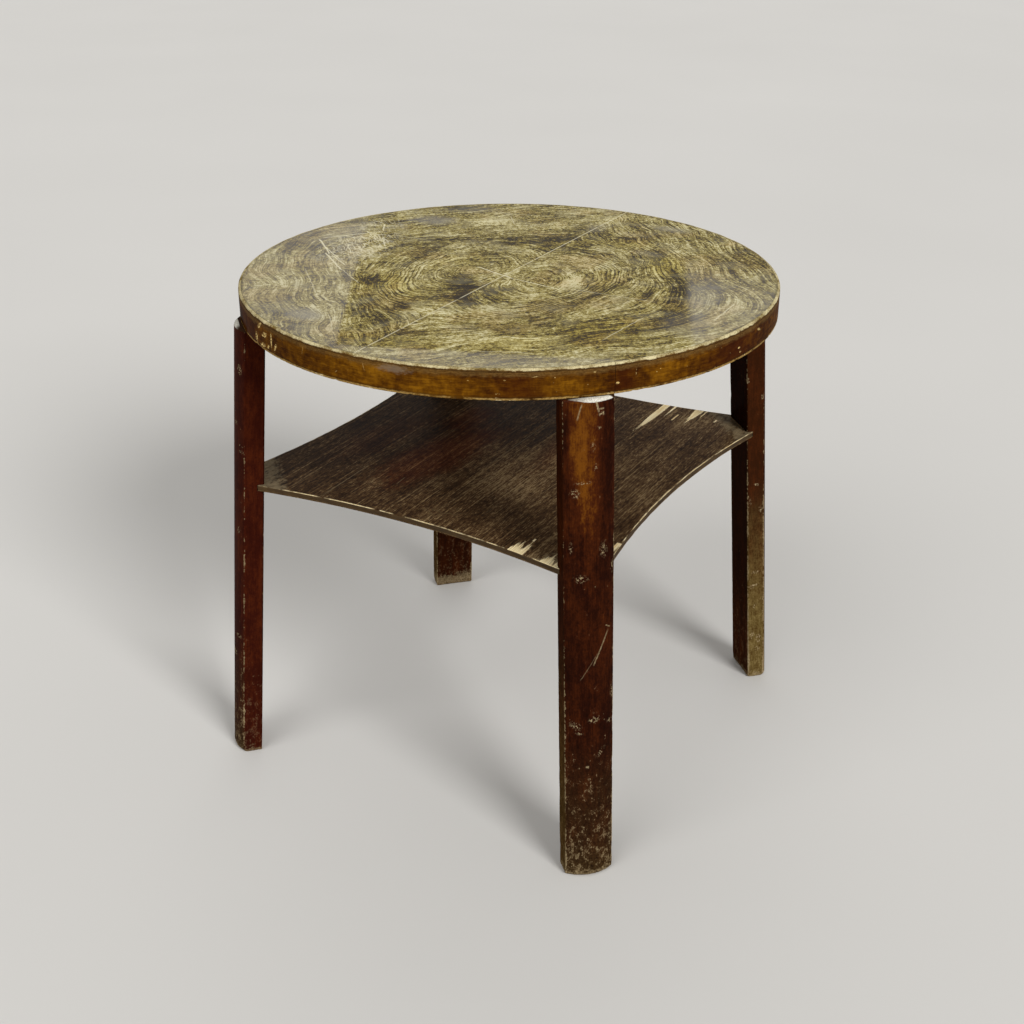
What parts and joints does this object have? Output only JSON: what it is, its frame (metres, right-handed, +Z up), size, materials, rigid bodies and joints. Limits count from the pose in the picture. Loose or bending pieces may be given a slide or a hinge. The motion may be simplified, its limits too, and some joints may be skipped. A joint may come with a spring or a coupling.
{
  "type": "round coffee table",
  "caption": "Round two-tier coffee table with a figured veneer top, plain rim, four flat legs with a convex face that lean out a little, and a thin square shelf with hollow sides housed in the legs.",
  "frame": {"origin": "on the floor below the middle of the round top", "axes": "+Z up; the shelf's hollow sides face X and Y, so the legs stand on the diagonals; the veneer's seam and grain run along Y"},
  "size_m": [0.6, 0.6, 0.573],
  "materials": {
    "figured_veneer": "old semi-gloss varnish over figured book-matched veneer, scuffed",
    "rim_wood": "glossy amber-brown varnish, chipped along the lower edge",
    "leg_wood": "red-brown stain under worn varnish, pale at the arrises and feet",
    "shelf_veneer": "dark grey-brown satin veneer with bare chips",
    "back_veneer": "plain unvarnished veneer, dulled with age",
    "ply_wood": "bare birch ply, browned",
    "core_wood": "bare softwood",
    "dowel_wood": "bare hardwood dowel"
  },
  "bodies": {
    "root": {"top_veneer_left": "figured_veneer", "top_veneer_right": "figured_veneer", "top_crossband_upper": "ply_wood", "top_core_board_1": "core_wood", "top_core_board_2": "core_wood", "top_core_board_3": "core_wood", "top_core_board_4": "core_wood", "top_core_board_5": "core_wood", "top_crossband_lower": "ply_wood", "top_back_veneer_left": "back_veneer", "top_back_veneer_right": "back_veneer", "rim_band_left": "rim_wood", "rim_band_right": "rim_wood", "leg_front": "leg_wood", "leg_right": "leg_wood", "leg_back": "leg_wood", "leg_left": "leg_wood", "leg_front_dowel_left": "dowel_wood", "leg_front_dowel_right": "dowel_wood", "leg_right_dowel_left": "dowel_wood", "leg_right_dowel_right": "dowel_wood", "leg_back_dowel_left": "dowel_wood", "leg_back_dowel_right": "dowel_wood", "leg_left_dowel_left": "dowel_wood", "leg_left_dowel_right": "dowel_wood", "shelf_top_veneer": "shelf_veneer", "shelf_crossband_upper": "ply_wood", "shelf_core_ply": "ply_wood", "shelf_crossband_lower": "ply_wood", "shelf_back_veneer": "shelf_veneer"}
  },
  "joints": []
}
